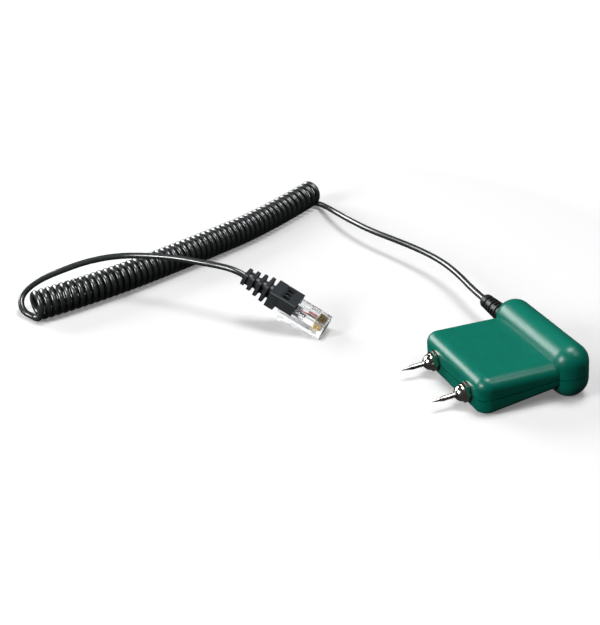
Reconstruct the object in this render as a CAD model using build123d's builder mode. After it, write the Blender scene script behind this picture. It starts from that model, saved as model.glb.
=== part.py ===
from build123d import *

import os
from math import asin, atan2, cos, hypot, pi, radians, sin, tan

# Hand-held two-pin moisture probe on a curly cord that ends in a modular plug.
# Millimetres. +Z is up, the bar of the T runs along X and the needles point towards -Y.
# The origin lies on the surface that the probe rests on, below the middle of the probe head.

# ---------------------------------------------------------------- driving dimensions

# Housing: a flat blade with a thick bar across its rear end.
blade_width = 48.5
blade_length = 41.0          # front face to the bar's axis
top_front = 9.0              # upper face above the seam, at the front face
top_rear = 5.7               # and at the bar's axis
bottom_front = 6.5           # lower face below the seam, at the front face
bottom_rear = 3.4            # and at the bar's axis
upper_round = 4.6
lower_round = 2.2
corner_round = 5.2           # the blade's front corners, seen from above
least_round = 0.3            # lower edges of the bodies moved inwards
bar_length = 55.0
bar_depth = 15.6
bar_height = 22.6
bar_lift = 1.0               # the bar's axis above the seam
bar_end_round = 7.3
bar_flat = 0.1               # flat that the bar's rounding leaves on its top and underside
wall = 1.8
seam_gap = 0.5
lip_thickness = 0.8
lip_height = 1.2
lip_clearance = 0.1

# Electrodes: a threaded socket, a needle with a collar and a domed nut over both.
pin_spacing = 26.4
stud_radius = 2.0
stud_length = 3.2            # in front of the housing's face
socket_bore_length = 9.0
flange_across_flats = 6.6
flange_thickness = 2.0
barrel_radius = 2.4
barrel_length = 5.2
tail_radius = 0.8
tail_length = 3.4
cradle_margin = 2.5          # housing material beside the flange
cradle_rear = 2.6            # and behind it
recess_radius = 4.4
recess_depth = 1.0
collar_outer_radius = 4.3
collar_thickness = 0.9
socket_clearance = 0.1
pin_radius = 1.0
pin_root_radius = 1.25       # inside the socket and the nut
pin_root_reach = 0.2         # and this far in front of the nut
pin_fit = 0.05               # radial, needle in the socket
pin_collar_radius = 1.75
pin_collar_thickness = 0.8
pin_seat_gap = 0.05          # from the stud's end to the collar
pin_reach = 10.2             # in front of the nut
pin_cone_length = 4.9
pin_tip_radius = 0.09
nut_across_flats = 7.0
nut_hex_length = 2.0
nut_length = 4.8
nut_standoff = 0.3           # from the housing's face to the nut
nut_nose_radius = 1.75
nut_shoulder = 0.1           # from the flats to the dome's edge
nut_dome_inset = 0.65        # dome's half-way point, inside the flats
nut_dome_share = 0.6         # and how far along the nose it lies
nut_fit = 0.06               # radial, around the stud and around the needle
tag_thickness = 0.4
tag_radius = 2.6
tag_tongue = 4.6

# Screws that hold the shells together.
front_screw_spread = 39.0
front_screw_row = 22.0       # behind the front face
rear_screw_spread = 24.0
rear_screw_row = 4.0         # behind the bar's axis
screw_radius = 1.1
screw_length = 7.6           # below the head
screw_hole_clearance = 0.2
screw_head_radius = 1.9
screw_head_height = 1.3
screw_seat = 2.8             # head seat below the seam
boss_radius = 2.9

# Circuit board on two posts of the lower shell.
board_width = 22.0
board_length = 12.0
board_thickness = 1.2
board_front = 17.0           # front edge behind the housing's face
board_height = -0.6          # lower side, from the seam
board_screw_radius = 0.8
board_screw_length = 3.4
board_screw_head = 1.5
board_screw_spread = 17.0
post_radius = 1.9
chip_size = (5.0, 4.0, 1.5)
resistor_size = (2.0, 1.2, 0.6)
resistor_spread = 5.0
capacitor_size = (2.0, 3.2, 1.1)
part_offset = 4.8            # resistors and capacitor, either side of the chip

# Cord.
cord_diameter = 2.8
conductor_radius = 0.45
conductor_pitch = 0.93
conductor_gap = 0.04         # between the board and what lies on it
conductor_spread = 1.5       # between their ends on the board
conductor_straight = 3.5     # conductors straight out of the jacket
conductor_slope = 3.5        # then down to the board, over this length
conductor_turn = 5.5         # where they turn to the board, behind its rear edge
conductor_fan = 1.2          # between them at that turn
conductor_end = (-5.0, 1.6)  # middle one's end: from the board's middle, and from its rear edge
lead_straight = (1.6, 0.2)   # electrode lead's first run: back and up
lead_landing = (2.0, 0.4)    # where it reaches the board: inwards and behind the front edge
lead_end = (4.6, 2.6)        # and where it ends
coil_diameter = 13.6
floor_gap = 0.03
relief_length = 17.5
relief_base_radius = 4.1
relief_tip_radius = 3.1
relief_tip_round = 0.9
relief_slots = 6
relief_slot_start = 1.3
relief_slot_pitch = 2.3
relief_slot_width = 1.1
relief_slot_depth = 0.9
relief_bridge = 2.2          # material left across each slot, on two opposite sides
relief_flange_radius = 5.2
relief_flange_thickness = 1.6
relief_bridge_angles = (45, 135)
relief_clearance = 0.1
lead_in_length = 8.6         # jacket inside the housing
ferrule_radius = 2.6
ferrule_length = 4.0

# Modular plug, 8 positions.
plug_width = 11.68
plug_height = 6.6
plug_length = 21.5
plug_round = 0.35
plug_heading = -132.0        # direction from the nose to the cord, from +X
plug_dip = 25.2              # nose down
plug_nose = (-62.4, -45.6, 0.03)
contact_count = 8
contact_pitch = 1.02
contact_thickness = 0.34
contact_slot = 0.5
contact_length = 3.7
contact_top = 6.25
contact_bottom = 3.05
contact_front = 1.2
slot_margin = 0.4            # slot beyond the contact, front and rear
slot_step = 4.4              # below this height the slot is as narrow as the contact
cavity_width = 9.6
cavity_floor = 1.2
cavity_roof = 5.6
cavity_front = 9.5
channel_width = 8.6
channel_floor = 1.3
channel_roof = 3.1
channel_front = 2.4
guide_length = 3.0
guide_clearance = 0.1
conductor_height = 2.45
conductor_slots = {"red": 2.5, "black": 0.5, "white": -1.5}
crimp_width = 4.6
crimp_length = 2.4
crimp_depth = 0.9
crimp_front = 10.2
jacket_flat_width = 5.4
jacket_flat_height = 2.4
jacket_edge_flat = 0.1
jacket_height = 3.1          # axis of the flat stretch in the plug's body
jacket_front = 12.6
jacket_flat_end = 19.0
latch_hinge = 4.2            # hinge line behind the nose
latch_hinge_radius = 0.6
latch_gap = 0.15             # between the hinge and the body
latch_width = 6.3
latch_tail_width = 3.2
latch_step = 9.5
latch_thickness = 1.1
latch_length = 16.5
latch_ridge = 0.7
latch_angle = 11.0
boot_start = 15.0            # hood's front edge behind the nose
boot_block_start = 23.3
boot_block_end = 27.6
boot_width = 12.8
boot_block_width = 13.2
boot_top = 8.35
boot_bottom = 0.85
hood_side_bottom = 3.0
boot_fit = 0.05              # between the hood and the plug's body
boot_axis = 4.6              # height of the cord's axis in the boot
boot_round = 0.5
neck_front_radius = 3.3
neck_rear_radius = 2.4
plate_count = 4
plate_start = 29.3
plate_pitch = 3.5
plate_thickness = 1.6
plate_front = (10.6, 8.2)    # width and height of the foremost
plate_rear = (7.6, 5.6)      # and of the rearmost
plate_round = 0.9
web_size = (6.0, 3.6)
window_count = 3
window_size = (2.1, 3.0)
window_pitch = 3.0
window_start = 19.3
pocket_margin = 0.7          # shallow pocket round the windows
pocket_depth = 0.45

# Routes of the free cord, from the strain relief to the coil and from the coil to the boot.
probe_route = [
    (-56.0, 23.9, 11.3),
    (-72.5, 25.7, 11.2),
    (-88.5, 25.9, 10.9),
    (-104.0, 23.2, 10.5),
    (-120.5, 18.3, 9.9),
    (-138.0, 12.1, 9.3),
    (-157.5, 8.5, 8.4),
    (-175.5, 7.6, 6.7),
    (-189.5, 9.0, 3.9),
    (-199.9, 8.8, 1.9),
]
coil_route = [
    (-203.0, 7.5),
    (-176.0, -28.5),
    (-154.0, -72.0),
    (-129.5, -127.0),
    (-121.0, -158.0),
]
plug_route = [
    (-117.6, -157.0, 1.8),
    (-126.8, -162.6, 2.9),
    (-133.6, -161.4, 7.2),
    (-134.9, -153.6, 12.3),
    (-133.2, -142.6, 16.3),
    (-132.6, -130.6, 19.1),
    (-129.9, -117.8, 20.8),
    (-122.4, -106.2, 22.1),
    (-112.3, -94.8, 23.2),
    (-101.5, -85.2, 23.6),
    (-95.3, -80.4, 24.1),
    (-88.94, -75.076, 23.778),
]

os.makedirs("parts", exist_ok=True)

# ---------------------------------------------------------------- how the head rests

# The head lies on the bar's underside and on the blade's lower front edge, nose down.
bar_corner = (bar_depth - bar_flat) / 2
bar_low_centre = (blade_length, bar_lift - bar_height / 2 + bar_corner)
edge_centre = (lower_round, lower_round - bottom_front)
span_y = bar_low_centre[0] - edge_centre[0]
span_z = bar_low_centre[1] - edge_centre[1]
tilt = asin((bar_corner - lower_round) / hypot(span_y, span_z)) - atan2(span_z, span_y)
seam_height = bar_corner - bar_low_centre[0] * sin(tilt) - bar_low_centre[1] * cos(tilt)

pin_tip_y = -(nut_standoff + nut_length + pin_reach)
head_front = pin_tip_y * cos(tilt)
bar_flat_half = bar_height / 2 - bar_corner
head_back = blade_length * cos(tilt) - bar_lift * sin(tilt) + bar_flat_half * sin(tilt) + bar_depth / 2
front_y = -(head_front + head_back) / 2

seat = Plane(origin=(0, front_y, seam_height), x_dir=(1, 0, 0), z_dir=(0, -sin(tilt), cos(tilt)))


def level(z):
    """Plane parallel to the seam, z above it."""
    return seat.offset(z)


def across(x, y, z=0.0, base=seat):
    """Plane that faces against the base's Y, at a point of the base: sketch X is X, sketch Y is up."""
    return Plane(origin=base.from_local_coords((x, y, z)), x_dir=base.x_dir, z_dir=-base.y_dir)


def along(x, y=0.0, z=0.0):
    """Plane that faces +X at a point of the head: sketch X points to the bar, sketch Y is up."""
    return Plane(origin=seat.from_local_coords((x, y, z)), x_dir=seat.y_dir, z_dir=seat.x_dir)


def head_place(shape):
    """Where the centre of an edge or a face lies in the head's own frame."""
    return seat.to_local_coords(shape.center())


# ---------------------------------------------------------------- housing

def blade_body(inset):
    """The blade, moved inwards by inset: a wedge with round front corners and rounded upper and lower edges."""
    with BuildPart() as body:
        with BuildSketch(along(0)):
            with BuildLine():
                Polyline(
                    (inset, inset - bottom_front),
                    (inset, top_front - inset),
                    (blade_length, top_rear - inset),
                    (blade_length, inset - bottom_rear),
                    close=True,
                )
            make_face()
        extrude(amount=blade_width / 2 - inset, both=True)
        upright = edges().filter_by(lambda e: abs(e.tangent_at(0).dot(seat.z_dir)) > 0.99)
        fillet(upright.sort_by(lambda e: head_place(e).Y)[:2], corner_round - inset / 2)
        by_height = faces().sort_by(lambda f: head_place(f).Z)
        roundings = ((by_height[-1], upper_round - inset), (by_height[0], max(lower_round - inset, least_round)))
        for face, radius in roundings:
            rim = face.edges().filter_by(lambda e: head_place(e).Y < 0.9 * blade_length)
            fillet(rim, radius)
    return body.part


def bar_body(inset):
    """The bar, moved inwards by inset: a rounded section with well-rounded ends."""
    with BuildPart() as body:
        with BuildSketch(along(inset - bar_length / 2, blade_length, bar_lift)):
            RectangleRounded(bar_depth - 2 * inset, bar_height - 2 * inset, bar_corner - inset)
        extrude(amount=bar_length - 2 * inset)
        ends = edges().filter_by(lambda e: abs(e.tangent_at(0).dot(seat.x_dir)) < 0.01)
        fillet(ends, bar_end_round - inset)
    return body.part


def housing_body(inset):
    with BuildPart() as body:
        add(blade_body(inset))
        add(bar_body(inset))
    return body.part


def slab(bottom, top):
    """Everything between two levels, larger than the housing."""
    with BuildPart() as body:
        with BuildSketch(level(bottom)):
            with Locations((0, blade_length / 2)):
                Rectangle(2 * bar_length, 4 * blade_length)
        extrude(amount=top - bottom)
    return body.part


def socket_envelope(x, clearance):
    """The space that an electrode socket takes in the housing, with a clearance all round."""
    with BuildPart() as body:
        with BuildSketch(across(x, recess_depth - clearance)):
            Circle(stud_radius + clearance)
        extrude(amount=-(wall + clearance))
        with BuildSketch(across(x, cradle_front + recess_depth - clearance)):
            RegularPolygon(flange_across_flats / 2 + clearance, 6, major_radius=False)
        extrude(amount=-(flange_thickness + 2 * clearance))
        with BuildSketch(across(x, cradle_front + recess_depth)):
            Circle(barrel_radius + clearance)
        extrude(amount=-(cradle_length + wall))
    return body.part


cradle_front = wall
cradle_length = recess_depth + flange_thickness + cradle_rear
cradle_width = flange_across_flats + 2 * cradle_margin
pin_places = {"left": -pin_spacing / 2, "right": pin_spacing / 2}
front_screws = [(x, front_screw_row) for x in (-front_screw_spread / 2, front_screw_spread / 2)]
rear_screw_y = blade_length + rear_screw_row
rear_screws = [(x, rear_screw_y) for x in (-rear_screw_spread / 2, rear_screw_spread / 2)]
screw_places = front_screws + rear_screws
board_centre = (0, board_front + board_length / 2)
post_places = [(x, board_centre[1]) for x in (-board_screw_spread / 2, board_screw_spread / 2)]
relief_x = -bar_length / 2
flange_x = relief_x + wall
lead_in_x = flange_x + relief_flange_thickness
collar_length = lead_in_x - relief_x + cradle_rear


def rods(places, radius, bottom, top):
    """Upright round rods of the head, from one level to another."""
    with BuildPart() as body:
        with BuildSketch(level(bottom)):
            with Locations(*places):
                Circle(radius)
        extrude(amount=top - bottom)
    return body.part


def relief_envelope(clearance):
    """The space for the strain relief's root and flange in the bar's end wall."""
    with BuildPart() as body:
        with BuildSketch(along(relief_x - wall, blade_length, bar_lift)):
            Circle(relief_base_radius + clearance)
        extrude(amount=2 * wall)
        with BuildSketch(along(flange_x - clearance, blade_length, bar_lift)):
            Circle(relief_flange_radius + clearance)
        extrude(amount=relief_flange_thickness + 2 * clearance)
        with BuildSketch(along(flange_x, blade_length, bar_lift)):
            Circle(cord_diameter / 2 + clearance)
        extrude(amount=collar_length)
    return body.part


def supports():
    """Material inside the housing that holds the sockets and the strain relief."""
    with BuildPart() as body:
        for x in pin_places.values():
            with BuildSketch(across(x, wall / 2)):
                Rectangle(cradle_width, 4 * top_front)
            extrude(amount=-(cradle_length + wall / 2))
        with BuildSketch(along(relief_x + wall / 2, blade_length, bar_lift)):
            Rectangle(bar_depth - wall, bar_height)
        extrude(amount=collar_length - wall / 2)
    return body.part


outer = housing_body(0)
inner = housing_body(wall)
lip_outer = housing_body(wall - lip_thickness)
lip_rebate = housing_body(wall - lip_thickness - lip_clearance)
inside_supports = supports()
sockets_space = [socket_envelope(x, socket_clearance) for x in pin_places.values()]
relief_space = relief_envelope(relief_clearance)


def ring(body, bottom, top):
    """The part of the wall between a body and the cavity, between two levels."""
    with BuildPart() as band:
        add(body)
        add(inner, mode=Mode.SUBTRACT)
        add(slab(bottom, top), mode=Mode.INTERSECT)
    return band.part


with BuildPart() as upper_shell:
    add(outer)
    add(inner, mode=Mode.SUBTRACT)
    add(inside_supports)
    add(rods(screw_places, boss_radius, 0, bar_height))
    add(outer, mode=Mode.INTERSECT)
    add(slab(-bar_height, seam_gap / 2), mode=Mode.SUBTRACT)
    add(rods(screw_places, boss_radius, 0, seam_gap))
    add(ring(lip_rebate, -seam_gap, lip_height + lip_clearance), mode=Mode.SUBTRACT)
    screw_bore_end = screw_length - screw_seat + lip_clearance
    add(rods(screw_places, screw_radius, -seam_gap, screw_bore_end), mode=Mode.SUBTRACT)
    for x, space in zip(pin_places.values(), sockets_space):
        with BuildSketch(across(x, recess_depth)):
            Circle(recess_radius)
        extrude(amount=2 * recess_depth, mode=Mode.SUBTRACT)
        add(space, mode=Mode.SUBTRACT)
    add(relief_space, mode=Mode.SUBTRACT)
upper_shell.part.label = "upper_shell"
export_step(upper_shell.part, "parts/upper_shell.step")

with BuildPart() as lower_shell:
    add(outer)
    add(inner, mode=Mode.SUBTRACT)
    add(inside_supports)
    add(rods(screw_places, boss_radius, -bar_height, 0))
    add(rods(post_places, post_radius, -bar_height, 0))
    add(outer, mode=Mode.INTERSECT)
    add(slab(-seam_gap / 2, bar_height), mode=Mode.SUBTRACT)
    add(rods(post_places, post_radius + lip_clearance, board_height, 0), mode=Mode.SUBTRACT)
    add(rods(screw_places, boss_radius, -seam_gap, 0))
    add(ring(lip_outer, -seam_gap, lip_height))
    add(rods(screw_places, screw_radius + screw_hole_clearance, -screw_seat, 0), mode=Mode.SUBTRACT)
    counterbore_radius = screw_head_radius + screw_hole_clearance
    add(rods(screw_places, counterbore_radius, -bar_height, -screw_seat), mode=Mode.SUBTRACT)
    board_screw_end = board_height + board_thickness - board_screw_length
    add(rods(post_places, board_screw_radius, board_screw_end, 0), mode=Mode.SUBTRACT)
    for x, space in zip(pin_places.values(), sockets_space):
        with BuildSketch(across(x, recess_depth)):
            Circle(recess_radius)
        extrude(amount=2 * recess_depth, mode=Mode.SUBTRACT)
        add(space, mode=Mode.SUBTRACT)
    add(relief_space, mode=Mode.SUBTRACT)
lower_shell.part.label = "lower_shell"
export_step(lower_shell.part, "parts/lower_shell.step")

with BuildPart() as shell_screws:
    add(rods(screw_places, screw_radius, -screw_seat, screw_length - screw_seat))
    add(rods(screw_places, screw_head_radius, -screw_seat - screw_head_height, -screw_seat))
shell_screws.part.label = "shell_screws"
export_step(shell_screws.part, "parts/shell_screws.step")

# ---------------------------------------------------------------- electrodes

flange_front = cradle_front + recess_depth
barrel_rear = flange_front + flange_thickness + barrel_length
tail_rear = barrel_rear + tail_length
collar_front = -stud_length - pin_seat_gap - pin_collar_thickness
nut_front = -nut_standoff - nut_length
shank_front = nut_front - pin_reach + pin_cone_length
root_front = nut_front - pin_root_reach

for side, x in pin_places.items():
    with BuildPart() as collar:
        with BuildSketch(across(x, recess_depth)):
            Circle(collar_outer_radius)
            Circle(stud_radius + socket_clearance, mode=Mode.SUBTRACT)
        extrude(amount=collar_thickness)
    name = "electrode_collar_" + side
    collar.part.label = name
    export_step(collar.part, "parts/" + name + ".step")

    with BuildPart() as socket:
        with BuildSketch(across(x, -stud_length)):
            Circle(stud_radius)
        extrude(amount=-(stud_length + flange_front))
        with BuildSketch(across(x, flange_front)):
            RegularPolygon(flange_across_flats / 2, 6, major_radius=False)
        extrude(amount=-flange_thickness)
        with BuildSketch(across(x, flange_front + flange_thickness)):
            Circle(barrel_radius)
        extrude(amount=-barrel_length)
        with BuildSketch(across(x, barrel_rear)):
            Circle(tail_radius)
        extrude(amount=-tail_length)
        with BuildSketch(across(x, -stud_length)):
            Circle(pin_root_radius + pin_fit)
        extrude(amount=-socket_bore_length, mode=Mode.SUBTRACT)
    name = "electrode_socket_" + side
    socket.part.label = name
    export_step(socket.part, "parts/" + name + ".step")

    with BuildPart() as needle:
        with BuildSketch(across(x, shank_front)):
            Circle(pin_radius)
        extrude(amount=shank_front - root_front)
        with BuildSketch(across(x, root_front)):
            Circle(pin_root_radius)
        extrude(amount=-(socket_bore_length - stud_length - pin_collar_thickness - root_front))
        with BuildSketch(across(x, collar_front)):
            Circle(pin_collar_radius)
        extrude(amount=-pin_collar_thickness)
        with BuildSketch(across(x, shank_front)):
            Circle(pin_radius)
        with BuildSketch(across(x, shank_front - pin_cone_length)):
            Circle(pin_tip_radius)
        loft()
    name = "contact_pin_" + side
    needle.part.label = name
    export_step(needle.part, "parts/" + name + ".step")

    with BuildPart() as nut:
        nose_length = nut_length - nut_hex_length
        with BuildSketch(across(x, -nut_standoff)):
            RegularPolygon(nut_across_flats / 2, 6, major_radius=False)
        extrude(amount=nut_hex_length)
        dome_radius = nut_across_flats / 2 - nut_shoulder
        dome_middle = (-nose_length * nut_dome_share, nut_across_flats / 2 - nut_dome_inset)
        hex_centre = along(x, -nut_standoff - nut_hex_length)
        with BuildSketch(hex_centre):
            with BuildLine():
                Polyline((0, dome_radius), (0, 0), (-nose_length, 0), (-nose_length, nut_nose_radius))
                ThreePointArc((-nose_length, nut_nose_radius), dome_middle, (0, dome_radius))
            make_face()
        revolve(axis=Axis(hex_centre.origin, seat.y_dir))
        with BuildSketch(across(x, -nut_standoff)):
            Circle(stud_radius + nut_fit)
        extrude(amount=-(collar_front + nut_standoff - nut_fit), mode=Mode.SUBTRACT)
        with BuildSketch(across(x, -nut_standoff)):
            Circle(pin_root_radius + nut_fit)
        extrude(amount=nut_length, mode=Mode.SUBTRACT)
    name = "pin_nut_" + side
    nut.part.label = name
    export_step(nut.part, "parts/" + name + ".step")

with BuildPart() as solder_tags:
    for x in pin_places.values():
        with BuildSketch(across(x, barrel_rear)):
            Circle(tag_radius)
            with Locations((0, tag_tongue / 2)):
                Rectangle(tag_radius, tag_tongue)
            Circle(tail_radius, mode=Mode.SUBTRACT)
        extrude(amount=-tag_thickness)
solder_tags.part.label = "solder_tags"
export_step(solder_tags.part, "parts/solder_tags.step")

# ---------------------------------------------------------------- circuit board

with BuildPart() as circuit_board:
    with BuildSketch(level(board_height)):
        with Locations(board_centre):
            Rectangle(board_width, board_length)
        with Locations(*post_places):
            Circle(board_screw_radius, mode=Mode.SUBTRACT)
    extrude(amount=board_thickness)
circuit_board.part.label = "circuit_board"
export_step(circuit_board.part, "parts/circuit_board.step")

board_top = board_height + board_thickness
components = [
    (0, 0, chip_size),
    (-part_offset, resistor_spread / 2, resistor_size),
    (-part_offset, -resistor_spread / 2, resistor_size),
    (part_offset, 0, capacitor_size),
]
with BuildPart() as board_components:
    for x, y, (length, width, height) in components:
        with BuildSketch(level(board_top)):
            with Locations((board_centre[0] + x, board_centre[1] + y)):
                Rectangle(length, width)
        extrude(amount=height)
board_components.part.label = "board_components"
export_step(board_components.part, "parts/board_components.step")

with BuildPart() as board_screws:
    add(rods(post_places, board_screw_radius, board_top - board_screw_length, board_top))
    add(rods(post_places, board_screw_head, board_top, board_top + board_screw_radius))
board_screws.part.label = "board_screws"
export_step(board_screws.part, "parts/board_screws.step")


def corner_radii(points):
    """The radius of each corner of a route: 0.45 of the shorter run over the tangent of half the turn."""
    radii = []
    for before, here, after in zip(points, points[1:], points[2:]):
        first = Vector(*here) - Vector(*before)
        second = Vector(*after) - Vector(*here)
        turn = radians(first.get_angle(second))
        radii.append(0.45 * min(first.length, second.length) / tan(turn / 2))
    return radii


def tube(points, radius):
    """A round tube whose path is straight runs joined by tangent arcs."""
    radii = corner_radii(points)
    with BuildPart() as body:
        with BuildLine():
            path = FilletPolyline(*points, radius=radii)
        with BuildSketch(path ^ 0):
            Circle(radius)
        sweep(path=path)
    ideal_volume = pi * radius**2 * path.length
    print("radii", [round(corner, 1) for corner in radii])
    print("length", round(path.length, 1), "volume over ideal", round(body.part.volume / ideal_volume, 4))
    return body.part


def head_points(points):
    """Points of the head's own frame, in the part's frame."""
    return [tuple(seat.from_local_coords(point)) for point in points]


wire_height = board_top + conductor_radius + conductor_gap
with BuildPart() as electrode_leads:
    for x in pin_places.values():
        inward = -1 if x > 0 else 1
        route = [
            (x, tail_rear, 0),
            (x, tail_rear + lead_straight[0], lead_straight[1]),
            (x + inward * lead_landing[0], board_front + lead_landing[1], wire_height),
            (x + inward * lead_end[0], board_front + lead_end[1], wire_height),
        ]
        add(tube(head_points(route), conductor_radius))
electrode_leads.part.label = "electrode_leads"
export_step(electrode_leads.part, "parts/electrode_leads.step")

# ---------------------------------------------------------------- cord in the head

lead_in_end = lead_in_x + lead_in_length
board_rear = board_front + board_length
with BuildPart() as cord_conductors:
    for lane in (-1, 0, 1):
        lane_y = blade_length + lane * conductor_pitch
        turn_x = lead_in_end + conductor_straight + conductor_slope
        end_x = conductor_end[0] - lane * conductor_spread
        route = [
            (lead_in_end, lane_y, bar_lift),
            (lead_in_end + conductor_straight, lane_y, bar_lift),
            (turn_x, board_rear + conductor_turn + lane * conductor_fan, wire_height),
            (end_x, board_rear - conductor_end[1], wire_height),
        ]
        add(tube(head_points(route), conductor_radius))
cord_conductors.part.label = "cord_conductors"
export_step(cord_conductors.part, "parts/cord_conductors.step")


def bar_axis_rod(radius, start, length):
    """A round rod on the bar's axis, along +X."""
    with BuildPart() as body:
        with BuildSketch(along(start, blade_length, bar_lift)):
            Circle(radius)
        extrude(amount=length)
    return body.part


relief_tip_x = relief_x - relief_length
with BuildPart() as strain_relief:
    with BuildSketch(along(relief_tip_x, blade_length, bar_lift)):
        Circle(relief_tip_radius)
    with BuildSketch(along(relief_x, blade_length, bar_lift)):
        Circle(relief_base_radius)
    loft()
    fillet(edges().sort_by(Axis.X)[0], relief_tip_round)
    add(bar_axis_rod(relief_base_radius, relief_x, wall))
    add(bar_axis_rod(relief_flange_radius, flange_x, relief_flange_thickness))
    for i in range(relief_slots):
        away = relief_slot_start + i * relief_slot_pitch
        outside = relief_base_radius - away * (relief_base_radius - relief_tip_radius) / relief_length
        bridge_angle = relief_bridge_angles[i % 2]
        with BuildSketch(along(relief_x - away, blade_length, bar_lift)):
            Circle(2 * relief_base_radius)
            Circle(outside - relief_slot_depth, mode=Mode.SUBTRACT)
            Rectangle(relief_bridge, 4 * relief_base_radius, rotation=bridge_angle, mode=Mode.SUBTRACT)
        extrude(amount=-relief_slot_width, mode=Mode.SUBTRACT)
    add(bar_axis_rod(cord_diameter / 2, relief_tip_x, 2 * relief_length), mode=Mode.SUBTRACT)
strain_relief.part.label = "strain_relief"
export_step(strain_relief.part, "parts/strain_relief.step")

with BuildPart() as cord_lead_in:
    add(bar_axis_rod(cord_diameter / 2, relief_tip_x, lead_in_end - relief_tip_x))
cord_lead_in.part.label = "cord_lead_in"
export_step(cord_lead_in.part, "parts/cord_lead_in.step")

ferrule_x = relief_x + collar_length
with BuildPart() as cord_ferrule:
    add(bar_axis_rod(ferrule_radius, ferrule_x, ferrule_length))
    add(bar_axis_rod(cord_diameter / 2, ferrule_x, ferrule_length), mode=Mode.SUBTRACT)
cord_ferrule.part.label = "cord_ferrule"
export_step(cord_ferrule.part, "parts/cord_ferrule.step")

# ---------------------------------------------------------------- modular plug

heading = radians(plug_heading)
dip = radians(plug_dip)
plug_seat = Plane(
    origin=plug_nose,
    x_dir=(sin(heading), -cos(heading), 0),
    z_dir=(-cos(heading) * sin(dip), -sin(heading) * sin(dip), cos(dip)),
)


def plug_section(y, z=0.0):
    """Plane across the plug, y behind its nose: sketch X is the width, sketch Y is up."""
    return across(0, y, z, plug_seat)


def plug_block(width, start, end, bottom, top, x=0.0):
    """A block of the plug between two distances from the nose and two heights."""
    with BuildPart() as body:
        with BuildSketch(plug_section(start)):
            with Locations((x, (bottom + top) / 2)):
                Rectangle(width, top - bottom)
        extrude(amount=start - end)
    return body.part


def rounded_block(width, start, end, bottom, top, corner):
    """The same with its four long edges rounded."""
    with BuildPart() as body:
        with BuildSketch(plug_section(start, (bottom + top) / 2)):
            RectangleRounded(width, top - bottom, corner)
        extrude(amount=start - end)
    return body.part


contact_end = contact_front + contact_length
contact_places = [(i - (contact_count - 1) / 2) * contact_pitch for i in range(contact_count)]

with BuildPart() as plug_body:
    add(rounded_block(plug_width, 0, plug_length, 0, plug_height, plug_round))
    cavity = plug_block(cavity_width, cavity_front, 2 * plug_length, cavity_floor, cavity_roof)
    add(cavity, mode=Mode.SUBTRACT)
    channel = plug_block(channel_width, channel_front, plug_length, channel_floor, channel_roof)
    add(channel, mode=Mode.SUBTRACT)
    crimp_floor = plug_height - crimp_depth
    crimp = plug_block(crimp_width, crimp_front, crimp_front + crimp_length, crimp_floor, 2 * plug_height)
    add(crimp, mode=Mode.SUBTRACT)
    for x in contact_places:
        slot_front = contact_front - slot_margin
        slot_end = contact_end + slot_margin
        add(plug_block(contact_slot, slot_front, slot_end, slot_step, 2 * plug_height, x), mode=Mode.SUBTRACT)
        narrow = plug_block(contact_thickness, contact_front, contact_end, contact_bottom, slot_step, x)
        add(narrow, mode=Mode.SUBTRACT)
plug_body.part.label = "plug_body"
export_step(plug_body.part, "parts/plug_body.step")

with BuildPart() as plug_contacts:
    for x in contact_places:
        add(plug_block(contact_thickness, contact_front, contact_end, contact_bottom, contact_top, x))
plug_contacts.part.label = "plug_contacts"
export_step(plug_contacts.part, "parts/plug_contacts.step")

guide_front = channel_front + guide_clearance
guide_top = contact_bottom - guide_clearance / 2
wire_places = {colour: slot * contact_pitch for colour, slot in conductor_slots.items()}
with BuildPart() as plug_wire_guide:
    guide_width = channel_width - 2 * guide_clearance
    guide_floor = channel_floor + guide_clearance
    add(plug_block(guide_width, guide_front, guide_front + guide_length, guide_floor, guide_top))
    with BuildSketch(plug_section(0, conductor_height)):
        with Locations(*[(x, 0) for x in wire_places.values()]):
            Circle(conductor_radius)
    extrude(amount=-plug_length, mode=Mode.SUBTRACT)
plug_wire_guide.part.label = "plug_wire_guide"
export_step(plug_wire_guide.part, "parts/plug_wire_guide.step")

for colour, x in wire_places.items():
    with BuildPart() as conductor:
        with BuildSketch(plug_section(guide_front, conductor_height)):
            with Locations((x, 0)):
                Circle(conductor_radius)
        extrude(amount=guide_front - jacket_front)
    name = "plug_conductor_" + colour
    conductor.part.label = name
    export_step(conductor.part, "parts/" + name + ".step")

plate_end = plate_start + (plate_count - 1) * plate_pitch + plate_thickness
jacket_corner = (jacket_flat_height - jacket_edge_flat) / 2
with BuildPart() as plug_jacket:
    with BuildSketch(plug_section(jacket_front, jacket_height)):
        RectangleRounded(jacket_flat_width, jacket_flat_height, jacket_corner)
    extrude(amount=jacket_front - jacket_flat_end)
    with BuildSketch(plug_section(jacket_flat_end, jacket_height)):
        RectangleRounded(jacket_flat_width, jacket_flat_height, jacket_corner)
    with BuildSketch(plug_section(boot_block_start, boot_axis)):
        Circle(cord_diameter / 2)
    loft()
    with BuildSketch(plug_section(boot_block_start, boot_axis)):
        Circle(cord_diameter / 2)
    extrude(amount=boot_block_start - plate_end)
plug_jacket.part.label = "plug_jacket"
export_step(plug_jacket.part, "parts/plug_jacket.step")

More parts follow.
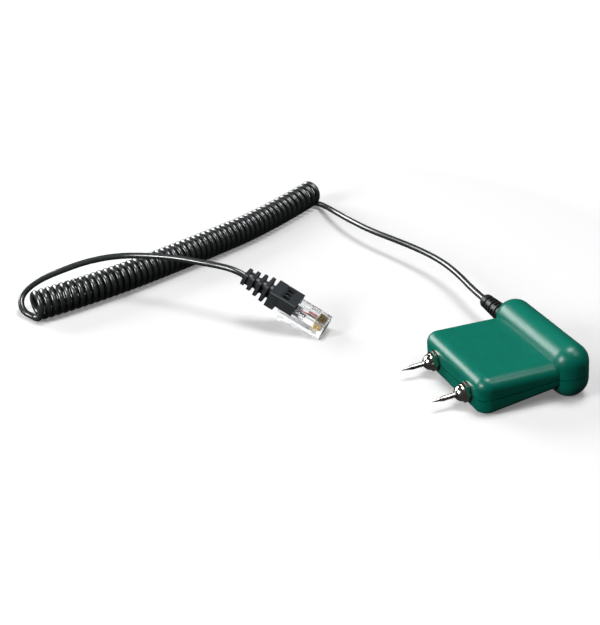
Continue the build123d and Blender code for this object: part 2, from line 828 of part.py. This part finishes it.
with BuildPart() as plug_boot:
    add(rounded_block(boot_width, boot_start, boot_block_start, hood_side_bottom, boot_top, boot_round))
    add(rounded_block(boot_block_width, boot_block_start, boot_block_end, boot_bottom, boot_top, boot_round))
    under_hood = plug_height + boot_fit
    add(plug_block(plug_width + 2 * boot_fit, 0, boot_block_start, -boot_top, under_hood), mode=Mode.SUBTRACT)
    window_end = window_start + window_size[1]
    pocket_width = (window_count - 1) * window_pitch + window_size[0] + 2 * pocket_margin
    pocket_start = window_start - pocket_margin
    pocket_floor = boot_top - pocket_depth
    pocket = plug_block(pocket_width, pocket_start, window_end + pocket_margin, pocket_floor, 2 * boot_top)
    add(pocket, mode=Mode.SUBTRACT)
    for i in range(window_count):
        x = (i - (window_count - 1) / 2) * window_pitch
        window = plug_block(window_size[0], window_start, window_end, 0, 2 * boot_top, x)
        add(window, mode=Mode.SUBTRACT)
    with BuildSketch(plug_section(boot_block_end, boot_axis)):
        Circle(neck_front_radius)
    with BuildSketch(plug_section(plate_end - plate_thickness, boot_axis)):
        Circle(neck_rear_radius)
    loft()
    for i in range(plate_count):
        share = i / (plate_count - 1)
        width = plate_front[0] + share * (plate_rear[0] - plate_front[0])
        height = plate_front[1] + share * (plate_rear[1] - plate_front[1])
        start = plate_start + i * plate_pitch
        with BuildSketch(plug_section(start, boot_axis)):
            RectangleRounded(width, height, plate_round)
        extrude(amount=-plate_thickness)
        if i % 2 == 1:
            with BuildSketch(plug_section(start - plate_pitch + plate_thickness, boot_axis)):
                Rectangle(*web_size)
            extrude(amount=plate_thickness - plate_pitch)
    with BuildSketch(plug_section(boot_block_start, boot_axis)):
        Circle(cord_diameter / 2)
    extrude(amount=boot_block_start - plate_end, mode=Mode.SUBTRACT)
plug_boot.part.label = "plug_boot"
export_step(plug_boot.part, "parts/plug_boot.step")

# The latch hangs from the body's underside on a hinge line and slopes down towards the cord.
latch_height = -latch_gap - latch_hinge_radius
latch_turn = radians(latch_angle)
latch_plane = Plane(
    origin=plug_seat.from_local_coords((0, latch_hinge, latch_height)),
    x_dir=plug_seat.x_dir,
    z_dir=plug_seat.z_dir * cos(latch_turn) + plug_seat.y_dir * sin(latch_turn),
)
with BuildPart() as plug_latch:
    with BuildSketch(latch_plane.offset(-latch_thickness / 2)):
        with Locations((0, latch_step / 2)):
            Rectangle(latch_width, latch_step)
        with Locations((0, latch_length / 2)):
            Rectangle(latch_tail_width, latch_length)
    extrude(amount=latch_thickness)
    with BuildSketch(latch_plane.offset(-latch_thickness / 2 - latch_ridge)):
        with Locations((0, latch_length - latch_ridge)):
            Rectangle(latch_tail_width, 2 * latch_ridge)
    extrude(amount=latch_ridge)
    hinge_end = Plane(
        origin=latch_plane.from_local_coords((-latch_width / 2, 0, 0)),
        x_dir=latch_plane.y_dir,
        z_dir=latch_plane.x_dir,
    )
    with BuildSketch(hinge_end):
        Circle(latch_hinge_radius)
    extrude(amount=latch_width)
plug_latch.part.label = "plug_latch"
export_step(plug_latch.part, "parts/plug_latch.step")

# ---------------------------------------------------------------- free cord

relief_tip = head_points([(relief_tip_x, blade_length, bar_lift)])
with BuildPart() as cord_probe_tail:
    add(tube(relief_tip + probe_route, cord_diameter / 2))
cord_probe_tail.part.label = "cord_probe_tail"
export_step(cord_probe_tail.part, "parts/cord_probe_tail.step")

coil_height = coil_diameter / 2 + floor_gap
with BuildPart() as cord_coil:
    add(tube([(x, y, coil_height) for x, y in coil_route], coil_diameter / 2))
cord_coil.part.label = "cord_coil"
export_step(cord_coil.part, "parts/cord_coil.step")

boot_tip = tuple(plug_seat.from_local_coords((0, plate_end, boot_axis)))
with BuildPart() as cord_plug_tail:
    add(tube(plug_route + [boot_tip], cord_diameter / 2))
cord_plug_tail.part.label = "cord_plug_tail"
export_step(cord_plug_tail.part, "parts/cord_plug_tail.step")

print("needle axis", tuple(-seat.y_dir))
print("latch axis", tuple(plug_seat.x_dir), "at", tuple(latch_plane.origin))
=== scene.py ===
"""Looks of the remote moisture probe: camera, cord, materials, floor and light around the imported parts."""

from math import cos, exp, pi, sin, tau

import bmesh
import bpy
from mathutils import Matrix, Vector


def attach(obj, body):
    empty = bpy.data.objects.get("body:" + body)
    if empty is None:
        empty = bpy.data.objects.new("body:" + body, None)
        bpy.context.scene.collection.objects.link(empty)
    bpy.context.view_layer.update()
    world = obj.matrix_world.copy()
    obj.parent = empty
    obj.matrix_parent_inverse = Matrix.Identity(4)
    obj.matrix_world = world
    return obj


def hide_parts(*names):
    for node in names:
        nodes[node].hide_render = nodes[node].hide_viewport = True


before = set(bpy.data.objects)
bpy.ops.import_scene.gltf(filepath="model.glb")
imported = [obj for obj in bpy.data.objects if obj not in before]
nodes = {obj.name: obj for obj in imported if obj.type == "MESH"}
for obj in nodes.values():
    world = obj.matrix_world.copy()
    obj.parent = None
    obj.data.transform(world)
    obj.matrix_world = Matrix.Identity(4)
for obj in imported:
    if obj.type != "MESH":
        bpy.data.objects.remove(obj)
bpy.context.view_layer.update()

MM = 0.001

# ---------------------------------------------------------------- sizes

CORD_DIAMETER = 2.8 * MM
COIL_DIAMETER = 13.6 * MM
FLOOR_GAP = 0.03 * MM
COIL_TURNS = 52
POINTS_PER_TURN = 16
TIGHT_PITCH = 3.32 * MM
STRETCH = 1.6 * MM
STRETCH_REACH = 41.6 * MM

# Camera: its place in metres, its lens in millimetres.
CAMERA_PLACE = (0.3703, -0.2296, 0.2474)
CAMERA_FORWARD = (-0.8286, 0.3325, -0.4504)
CAMERA_UP = (-0.4180, 0.1677, 0.8928)
CAMERA_LENS = 70.96

# The white room, in metres, and how it glows.
ROOM = 12.0
MIDDLE = (-0.09, -0.06, 0)
NEAR_GLOW = 0.16
FAR_GLOW = 1.2
GLOW_STARTS = 0.2
GLOW_FULL = 0.6
FLOOR_GREY = 0.29
WORLD_STRENGTH = 0.05

# Routes of the free cord, in millimetres, as in part.py, which works out the two outer ends.
PROBE_ROUTE = [
    (-45.0, 23.89, 11.28),
    (-56.0, 23.9, 11.3),
    (-72.5, 25.7, 11.2),
    (-88.5, 25.9, 10.9),
    (-104.0, 23.2, 10.5),
    (-120.5, 18.3, 9.9),
    (-138.0, 12.1, 9.3),
    (-157.5, 8.5, 8.4),
    (-175.5, 7.6, 6.7),
    (-189.5, 9.0, 3.9),
]
COIL_ROUTE = [
    (-203.0, 7.5),
    (-176.0, -28.5),
    (-154.0, -72.0),
    (-129.5, -127.0),
    (-121.0, -158.0),
]
PLUG_ROUTE = [
    (-126.8, -162.6, 2.9),
    (-133.6, -161.4, 7.2),
    (-134.9, -153.6, 12.3),
    (-133.2, -142.6, 16.3),
    (-132.6, -130.6, 19.1),
    (-129.9, -117.8, 20.8),
    (-122.4, -106.2, 22.1),
    (-112.3, -94.8, 23.2),
    (-101.5, -85.2, 23.6),
    (-95.3, -80.4, 24.1),
    (-88.94, -75.076, 23.778),
    (-86.155, -71.983, 21.819),
]


def metres(points):
    return [Vector(point) * MM for point in points]


# ---------------------------------------------------------------- camera

def look(name, place, forward, up, lens):
    """A camera at a place, looking along forward."""
    data = bpy.data.cameras.new(name)
    data.lens = lens
    data.sensor_width = 36
    camera = bpy.data.objects.new(name, data)
    bpy.context.scene.collection.objects.link(camera)
    back = -Vector(forward).normalized()
    right = Vector(up).cross(back).normalized()
    upright = back.cross(right)
    camera.matrix_world = Matrix.Translation(place) @ Matrix((right, upright, back)).transposed().to_4x4()
    return camera


bpy.context.scene.camera = look("camera", CAMERA_PLACE, CAMERA_FORWARD, CAMERA_UP, CAMERA_LENS)

# ---------------------------------------------------------------- materials

def material(name, colour, roughness, metallic=0.0):
    """A material with its Principled shader."""
    made = bpy.data.materials.new(name)
    made.use_nodes = True
    shader = made.node_tree.nodes["Principled BSDF"]
    shader.inputs["Base Color"].default_value = (*colour, 1)
    shader.inputs["Roughness"].default_value = roughness
    shader.inputs["Metallic"].default_value = metallic
    return made, made.node_tree, shader


def own_place(tree):
    """The place of a point in the object's own coordinates."""
    return tree.nodes.new("ShaderNodeTexCoord").outputs["Object"]


def noise(tree, scale, detail=2.0):
    """Noise in the object's own coordinates, scale cells per metre."""
    place = own_place(tree)
    texture = tree.nodes.new("ShaderNodeTexNoise")
    texture.inputs["Scale"].default_value = scale
    texture.inputs["Detail"].default_value = detail
    tree.links.new(place, texture.inputs["Vector"])
    return texture.outputs["Fac"]


def graded(tree, value, low, high, start=0.3, end=0.7):
    """A number that goes from low to high as value goes from start to end."""
    ramp = tree.nodes.new("ShaderNodeMapRange")
    ramp.inputs["From Min"].default_value = start
    ramp.inputs["From Max"].default_value = end
    ramp.inputs["To Min"].default_value = low
    ramp.inputs["To Max"].default_value = high
    tree.links.new(value, ramp.inputs["Value"])
    return ramp.outputs["Result"]


def blended(tree, value, first, second):
    """A colour between two colours."""
    mix = tree.nodes.new("ShaderNodeMix")
    mix.data_type = "RGBA"
    mix.inputs["A"].default_value = (*first, 1)
    mix.inputs["B"].default_value = (*second, 1)
    tree.links.new(value, mix.inputs["Factor"])
    return mix.outputs["Result"]


def bump(tree, shader, height, distance, strength=1.0):
    """Small relief from a height value, distance in metres."""
    relief = tree.nodes.new("ShaderNodeBump")
    relief.inputs["Strength"].default_value = strength
    relief.inputs["Distance"].default_value = distance
    tree.links.new(height, relief.inputs["Height"])
    tree.links.new(relief.outputs["Normal"], shader.inputs["Normal"])


def moulded(name, dark, light, roughness, grain, relief, gloss=0.3):
    """Moulded plastic or rubber: a fine grain in colour, gloss and relief."""
    made, tree, shader = material(name, light, roughness)
    shader.inputs["Specular IOR Level"].default_value = gloss
    colour = blended(tree, noise(tree, grain / 12, 3), dark, light)
    tree.links.new(colour, shader.inputs["Base Color"])
    dullness = graded(tree, noise(tree, grain / 3), roughness - 0.05, roughness + 0.05)
    tree.links.new(dullness, shader.inputs["Roughness"])
    bump(tree, shader, noise(tree, grain, 1), relief)
    return made


def metal(name, dark, light, roughness, grain, relief):
    """Metal with faint stains and turning marks."""
    made, tree, shader = material(name, light, roughness, 1.0)
    colour = blended(tree, noise(tree, grain / 6, 3), dark, light)
    tree.links.new(colour, shader.inputs["Base Color"])
    dullness = graded(tree, noise(tree, grain / 2), roughness * 0.7, roughness * 1.5)
    tree.links.new(dullness, shader.inputs["Roughness"])
    bump(tree, shader, noise(tree, grain, 2), relief)
    return made


def clear_plastic(name):
    """Clear polycarbonate with a few faint flow marks."""
    made, tree, shader = material(name, (0.90, 0.915, 0.92), 0.04)
    shader.inputs["Transmission Weight"].default_value = 1.0
    shader.inputs["IOR"].default_value = 1.58
    bump(tree, shader, noise(tree, 220, 1), 0.03 * MM, 0.25)
    return made


GREEN = moulded("green_plastic", (0.0, 0.052, 0.035), (0.0, 0.068, 0.047), 0.33, 2600, 0.016 * MM, 0.2)
CORD_BLACK = moulded(
    "cord_black", (0.010, 0.012, 0.012), (0.016, 0.018, 0.018), 0.22, 1500, 0.002 * MM, 0.5
)
RELIEF_BLACK = moulded(
    "relief_black", (0.005, 0.006, 0.006), (0.009, 0.010, 0.010), 0.36, 2200, 0.012 * MM, 0.1
)
BOOT_BLACK = moulded("boot_black", (0.009, 0.011, 0.012), (0.018, 0.021, 0.023), 0.42, 2600, 0.015 * MM)
COLLAR_BLACK = moulded("collar_black", (0.004, 0.006, 0.005), (0.01, 0.012, 0.011), 0.5, 2200, 0.01 * MM)
JACKET_GREY = moulded("jacket_grey", (0.018, 0.022, 0.034), (0.035, 0.042, 0.062), 0.45, 2000, 0.01 * MM)
RED_WIRE = moulded("red_wire", (0.50, 0.010, 0.012), (0.65, 0.020, 0.020), 0.3, 2000, 0.003 * MM)
BLACK_WIRE = moulded("black_wire", (0.004, 0.004, 0.004), (0.008, 0.008, 0.008), 0.3, 2000, 0.003 * MM)
WHITE_WIRE = moulded("white_wire", (0.72, 0.72, 0.70), (0.85, 0.85, 0.84), 0.3, 2000, 0.003 * MM)
GUIDE_CREAM = moulded("guide_cream", (0.62, 0.55, 0.43), (0.74, 0.68, 0.56), 0.4, 2000, 0.006 * MM)
BOARD_GREEN = moulded("board_green", (0.008, 0.07, 0.025), (0.012, 0.10, 0.04), 0.3, 1800, 0.006 * MM)
CHROME = metal("chrome", (0.50, 0.46, 0.41), (0.68, 0.64, 0.59), 0.12, 900, 0.002 * MM)
STEEL = metal("steel", (0.20, 0.19, 0.18), (0.34, 0.32, 0.30), 0.26, 1800, 0.004 * MM)
BRASS = metal("brass", (0.50, 0.36, 0.14), (0.66, 0.48, 0.20), 0.28, 1500, 0.005 * MM)
GOLD = metal("gold", (0.55, 0.38, 0.16), (0.78, 0.58, 0.30), 0.30, 1800, 0.003 * MM)
CLEAR = clear_plastic("clear_plastic")

FINISH = {
    "upper_shell": GREEN,
    "lower_shell": GREEN,
    "shell_screws": STEEL,
    "electrode_collar_left": COLLAR_BLACK,
    "electrode_collar_right": COLLAR_BLACK,
    "electrode_socket_left": BRASS,
    "electrode_socket_right": BRASS,
    "contact_pin_left": STEEL,
    "contact_pin_right": STEEL,
    "pin_nut_left": CHROME,
    "pin_nut_right": CHROME,
    "solder_tags": BRASS,
    "circuit_board": BOARD_GREEN,
    "board_components": BLACK_WIRE,
    "board_screws": STEEL,
    "electrode_leads": RED_WIRE,
    "cord_conductors": WHITE_WIRE,
    "cord_lead_in": CORD_BLACK,
    "cord_ferrule": STEEL,
    "strain_relief": RELIEF_BLACK,
    "plug_boot": BOOT_BLACK,
    "plug_jacket": JACKET_GREY,
    "plug_body": CLEAR,
    "plug_latch": CLEAR,
    "plug_contacts": GOLD,
    "plug_conductor_red": RED_WIRE,
    "plug_conductor_black": BLACK_WIRE,
    "plug_conductor_white": WHITE_WIRE,
    "plug_wire_guide": GUIDE_CREAM,
}
for name, finish in FINISH.items():
    mesh = nodes[name].data
    mesh.materials.clear()
    mesh.materials.append(finish)

# ---------------------------------------------------------------- cord

def spline_curve(name, points, radius=0.0):
    """A curve object of one open quadratic NURBS spline through the given control points."""
    data = bpy.data.curves.new(name, "CURVE")
    data.dimensions = "3D"
    data.bevel_depth = radius
    data.bevel_resolution = 6
    data.resolution_u = 6
    data.use_fill_caps = True
    spline = data.splines.new("NURBS")
    spline.points.add(len(points) - 1)
    for control, point in zip(spline.points, points):
        control.co = (*point, 1)
    spline.order_u = 3
    spline.use_endpoint_u = True
    curve = bpy.data.objects.new(name, data)
    bpy.context.scene.collection.objects.link(curve)
    return curve


def smooth_line(points, resolution=24):
    """Points along the quadratic spline of a route."""
    guide = spline_curve("guide", points)
    guide.data.resolution_u = resolution
    mesh = bpy.data.meshes.new_from_object(guide)
    line = [vertex.co.copy() for vertex in mesh.vertices]
    bpy.data.meshes.remove(mesh)
    bpy.data.objects.remove(guide)
    return line


def helix(axis, radius, turns, per_turn):
    """Control points of a helix along a level line, from bottom to bottom, stretched near its start."""
    lengths = [0.0]
    for before, after in zip(axis, axis[1:]):
        lengths.append(lengths[-1] + (after - before).length)
    travels = [0.0]
    for _ in range(turns * per_turn):
        pitch = TIGHT_PITCH + STRETCH * exp(-((travels[-1] / STRETCH_REACH) ** 2))
        travels.append(travels[-1] + pitch / per_turn)
    fitted = lengths[-1] / travels[-1]
    control_radius = radius / cos(pi / per_turn)
    points = []
    step = 0
    for i, travel in enumerate(travels):
        travel *= fitted
        while step < len(axis) - 2 and lengths[step + 1] < travel:
            step += 1
        share = (travel - lengths[step]) / (lengths[step + 1] - lengths[step])
        centre = axis[step].lerp(axis[step + 1], share)
        ahead = (axis[step + 1] - axis[step]).normalized()
        side = ahead.cross(Vector((0, 0, 1))).normalized()
        angle = tau * i / per_turn
        points.append(centre + control_radius * (sin(angle) * side - cos(angle) * Vector((0, 0, 1))))
    return points


def make_cord():
    """The whole cord: the probe-side tail, the curly part and the plug-side tail."""
    height = COIL_DIAMETER / 2 + FLOOR_GAP
    axis = smooth_line([Vector((x * MM, y * MM, height)) for x, y in COIL_ROUTE])
    turns = helix(axis, (COIL_DIAMETER - CORD_DIAMETER) / 2, COIL_TURNS, POINTS_PER_TURN)
    route = metres(PROBE_ROUTE) + turns + metres(PLUG_ROUTE)
    cord = spline_curve("cord", route, CORD_DIAMETER / 2)
    cord.data.materials.append(CORD_BLACK)
    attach(cord, "root")
    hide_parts("cord_probe_tail", "cord_coil", "cord_plug_tail")
    return cord, route[0]


cord, cord_exit = make_cord()

# ---------------------------------------------------------------- floor and light

def area_light(name, place, target, size, power):
    """A rectangular soft box facing a target: sizes in metres, power in watts."""
    data = bpy.data.lights.new(name, "AREA")
    data.shape = "RECTANGLE"
    data.size, data.size_y = size
    data.energy = power
    light = bpy.data.objects.new(name, data)
    light.location = place
    light.rotation_mode = "QUATERNION"
    light.rotation_quaternion = (Vector(target) - Vector(place)).to_track_quat("-Z", "Y")
    bpy.context.scene.collection.objects.link(light)
    return light


def make_floor():
    """A white room, its floor level with what the probe rests on, that glows away from the probe."""
    mesh = bpy.data.meshes.new("floor")
    shape = bmesh.new()
    bmesh.ops.create_cube(shape, size=ROOM)
    shape.to_mesh(mesh)
    shape.free()
    floor = bpy.data.objects.new("floor", mesh)
    floor.location = (0, 0, ROOM / 2 - 0.01 * MM)
    made, tree, shader = material("floor_white", (FLOOR_GREY, FLOOR_GREY, FLOOR_GREY), 0.8)
    shader.inputs["Specular IOR Level"].default_value = 0.0
    shader.inputs["Emission Color"].default_value = (1, 1, 1, 1)
    away = tree.nodes.new("ShaderNodeVectorMath")
    away.operation = "DISTANCE"
    away.inputs[1].default_value = (MIDDLE[0], MIDDLE[1], -ROOM / 2)
    tree.links.new(own_place(tree), away.inputs[0])
    glow = graded(tree, away.outputs["Value"], NEAR_GLOW, FAR_GLOW, GLOW_STARTS, GLOW_FULL)
    tree.links.new(glow, shader.inputs["Emission Strength"])
    mesh.materials.append(made)
    floor.visible_diffuse = False
    floor.visible_glossy = False
    bpy.context.scene.collection.objects.link(floor)


def make_light():
    """Soft boxes in a dim studio: overhead, low on the left, in front and behind on the right."""
    world = bpy.data.worlds.new("studio")
    world.use_nodes = True
    world.node_tree.nodes["Background"].inputs["Color"].default_value = (1, 1, 1, 1)
    world.node_tree.nodes["Background"].inputs["Strength"].default_value = WORLD_STRENGTH
    bpy.context.scene.world = world
    area_light("top_box", (-0.05, 0.15, 1.4), MIDDLE, (0.6, 0.6), 31)
    area_light("left_box", (-1.1, -0.7, 0.5), (-0.04, -0.03, 0.01), (0.9, 0.55), 32)
    area_light("front_box", (0.15, -1.0, 0.45), (0, 0, 0), (0.4, 0.4), 20)
    area_light("back_box", (0.42, 0.36, 0.8), (0, 0, 0), (0.3, 0.3), 3)
    bpy.context.scene.view_settings.view_transform = "Standard"


make_floor()
make_light()
